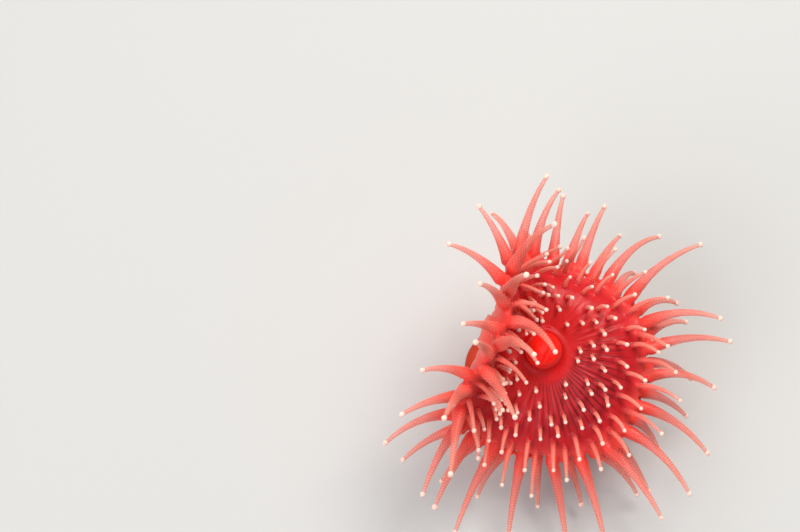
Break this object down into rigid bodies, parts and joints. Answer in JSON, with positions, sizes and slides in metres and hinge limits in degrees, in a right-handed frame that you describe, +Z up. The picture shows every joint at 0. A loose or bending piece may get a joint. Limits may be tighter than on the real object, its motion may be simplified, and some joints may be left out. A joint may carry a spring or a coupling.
{
  "type": "strawberry anemone",
  "caption": "Still, life-size strawberry anemone standing open on its foot: short column, thin oral disc with one side folded up, and club-tipped tentacles.",
  "frame": {"origin": "centre of the foot's flat underside, on the floor", "axes": "+Z up from the foot; -Y is the side that the oral disc leans towards; +X is to the right seen from there"},
  "size_m": [0.0366, 0.0358, 0.0277],
  "materials": {
    "column_flesh": "smooth wet translucent orange-red flesh",
    "disc_flesh": "thin wet translucent crimson flesh with fine radial lines",
    "mouth_flesh": "wet scarlet flesh",
    "tentacle_flesh": "clear pink flesh ringed with fine pale beads, with an opaque pale pink club at the tip"
  },
  "bodies": {
    "root": {"pedal_disc": "column_flesh", "column": "column_flesh", "capitulum": "column_flesh", "oral_disc": "disc_flesh", "mouth": "mouth_flesh", "tentacle_upper_01": "tentacle_flesh", "tentacle_upper_02": "tentacle_flesh", "tentacle_upper_03": "tentacle_flesh", "tentacle_upper_04": "tentacle_flesh", "tentacle_upper_05": "tentacle_flesh", "tentacle_upper_06": "tentacle_flesh", "tentacle_upper_07": "tentacle_flesh", "tentacle_upper_08": "tentacle_flesh", "tentacle_upper_09": "tentacle_flesh", "tentacle_upper_10": "tentacle_flesh", "tentacle_upper_11": "tentacle_flesh", "tentacle_upper_12": "tentacle_flesh", "tentacle_upper_13": "tentacle_flesh", "tentacle_upper_14": "tentacle_flesh", "tentacle_upper_15": "tentacle_flesh", "tentacle_upper_16": "tentacle_flesh", "tentacle_upper_17": "tentacle_flesh", "tentacle_upper_18": "tentacle_flesh", "tentacle_upper_19": "tentacle_flesh", "tentacle_upper_20": "tentacle_flesh", "tentacle_upper_21": "tentacle_flesh", "tentacle_upper_22": "tentacle_flesh", "tentacle_upper_23": "tentacle_flesh", "tentacle_upper_24": "tentacle_flesh", "tentacle_upper_25": "tentacle_flesh", "tentacle_lower_01": "tentacle_flesh", "tentacle_lower_02": "tentacle_flesh", "tentacle_lower_03": "tentacle_flesh", "tentacle_lower_04": "tentacle_flesh", "tentacle_lower_05": "tentacle_flesh", "tentacle_lower_06": "tentacle_flesh", "tentacle_lower_07": "tentacle_flesh", "tentacle_lower_08": "tentacle_flesh", "tentacle_lower_09": "tentacle_flesh", "tentacle_lower_10": "tentacle_flesh", "tentacle_lower_11": "tentacle_flesh", "tentacle_lower_12": "tentacle_flesh", "tentacle_lower_13": "tentacle_flesh", "tentacle_lower_14": "tentacle_flesh", "tentacle_lower_15": "tentacle_flesh", "tentacle_lower_16": "tentacle_flesh", "tentacle_lower_17": "tentacle_flesh", "tentacle_lower_18": "tentacle_flesh", "tentacle_lower_19": "tentacle_flesh", "tentacle_lower_20": "tentacle_flesh", "tentacle_lower_21": "tentacle_flesh", "tentacle_lower_22": "tentacle_flesh", "tentacle_lower_23": "tentacle_flesh", "tentacle_lower_24": "tentacle_flesh", "tentacle_lower_25": "tentacle_flesh"}
  },
  "joints": []
}
